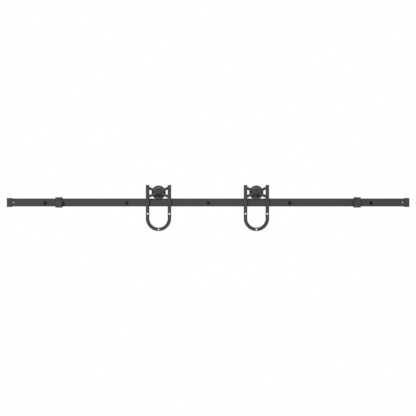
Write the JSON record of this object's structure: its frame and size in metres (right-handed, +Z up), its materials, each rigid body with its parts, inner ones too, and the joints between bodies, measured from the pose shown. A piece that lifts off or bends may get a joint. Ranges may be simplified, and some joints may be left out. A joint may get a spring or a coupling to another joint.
{
  "type": "sliding barn door hardware",
  "caption": "Flat track on wall spacers with horseshoe strap hangers that roll on grooved wheels, clamp-on door stops with rubber bumpers and end caps.",
  "frame": {"origin": "centre of the middle wall spacer's wall face, so the wall is the plane y = 0 and the track's centre line is z = 0", "axes": "+X along the track, to the right as seen from the room; +Y into the wall; +Z up"},
  "size_m": [2.008, 0.1103, 0.2294],
  "materials": {
    "powder_coat": "matt charcoal powder coat, fine orange peel",
    "wheel_steel": "turned steel, satin charcoal coat",
    "coated_steel": "matt charcoal zinc-flake coat",
    "black_oxide": "black oxide, lightly oiled",
    "bearing_steel": "ground and polished",
    "spring_steel": "phosphated spring steel",
    "nylon_black": "turned nylon",
    "nylon_blue_grey": "moulded nylon",
    "cage_brown": "moulded cage polymer",
    "seal_rubber": "moulded seal rubber",
    "bumper_rubber": "moulded rubber",
    "cap_plastic": "moulded plastic, fine texture"
  },
  "bodies": {
    "track": {"track_rail": "powder_coat", "lag_bolt_washers": "coated_steel", "wall_spacer_1": "powder_coat", "wall_spacer_2": "powder_coat", "wall_spacer_3": "powder_coat", "wall_spacer_4": "powder_coat", "wall_spacer_5": "powder_coat", "lag_bolt_1": "black_oxide", "lag_bolt_2": "black_oxide", "lag_bolt_3": "black_oxide", "lag_bolt_4": "black_oxide", "lag_bolt_5": "black_oxide", "left_end_cap": "cap_plastic", "left_stop_body": "powder_coat", "left_stop_bumper": "bumper_rubber", "left_stop_bumper_screw": "black_oxide", "left_stop_set_screws": "black_oxide", "right_end_cap": "cap_plastic", "right_stop_body": "powder_coat", "right_stop_bumper": "bumper_rubber", "right_stop_bumper_screw": "black_oxide", "right_stop_set_screws": "black_oxide"},
    "left_hanger": {"left_horseshoe_strap": "powder_coat", "left_axle_brace": "powder_coat", "left_axle_bolt": "coated_steel", "left_axle_washer_front": "coated_steel", "left_axle_bush_front": "black_oxide", "left_axle_bush_back": "black_oxide", "left_axle_washer_back": "black_oxide", "left_lock_nut": "black_oxide", "left_lock_nut_insert": "nylon_blue_grey", "left_bearing_inner_ring": "bearing_steel"},
    "left_wheel_set": {"left_wheel": "wheel_steel", "left_wheel_tread": "nylon_black", "left_bearing_outer_ring": "bearing_steel", "left_bearing_seals": "seal_rubber", "left_bearing_circlip": "spring_steel"},
    "left_ball_cage": {"left_bearing_cage": "cage_brown", "left_bearing_balls": "bearing_steel"},
    "right_hanger": {"right_horseshoe_strap": "powder_coat", "right_axle_brace": "powder_coat", "right_axle_bolt": "coated_steel", "right_axle_washer_front": "coated_steel", "right_axle_bush_front": "black_oxide", "right_axle_bush_back": "black_oxide", "right_axle_washer_back": "black_oxide", "right_lock_nut": "black_oxide", "right_lock_nut_insert": "nylon_blue_grey", "right_bearing_inner_ring": "bearing_steel"},
    "right_wheel_set": {"right_wheel": "wheel_steel", "right_wheel_tread": "nylon_black", "right_bearing_outer_ring": "bearing_steel", "right_bearing_seals": "seal_rubber", "right_bearing_circlip": "spring_steel"},
    "right_ball_cage": {"right_bearing_cage": "cage_brown", "right_bearing_balls": "bearing_steel"}
  },
  "joints": [
    {"name": "left_hanger_roll", "type": "slide", "parent": "track", "child": "left_hanger", "axis": [1, 0, 0], "range_m": [-0.41, 0.416]},
    {"name": "left_wheel_spin", "type": "hinge", "parent": "left_hanger", "child": "left_wheel_set", "pos_m": [-0.2465, -0.038, 0.05], "axis": [0, 1, 0], "continuous": true},
    {"name": "left_cage_spin", "type": "hinge", "parent": "left_hanger", "child": "left_ball_cage", "pos_m": [-0.2465, -0.038, 0.05], "axis": [0, 1, 0], "continuous": true},
    {"name": "right_hanger_roll", "type": "slide", "parent": "track", "child": "right_hanger", "axis": [1, 0, 0], "range_m": [-0.41, 0.416]},
    {"name": "right_wheel_spin", "type": "hinge", "parent": "right_hanger", "child": "right_wheel_set", "pos_m": [0.2405, -0.038, 0.05], "axis": [0, 1, 0], "continuous": true},
    {"name": "right_cage_spin", "type": "hinge", "parent": "right_hanger", "child": "right_ball_cage", "pos_m": [0.2405, -0.038, 0.05], "axis": [0, 1, 0], "continuous": true}
  ],
  "couplings": [
    {"joint": "left_wheel_spin", "follows": "left_hanger_roll", "rad_per_m": 33.557},
    {"joint": "left_cage_spin", "follows": "left_hanger_roll", "rad_per_m": 20.554},
    {"joint": "right_hanger_roll", "follows": "left_hanger_roll", "ratio": 1},
    {"joint": "right_wheel_spin", "follows": "left_hanger_roll", "rad_per_m": 33.557},
    {"joint": "right_cage_spin", "follows": "left_hanger_roll", "rad_per_m": 20.554}
  ]
}
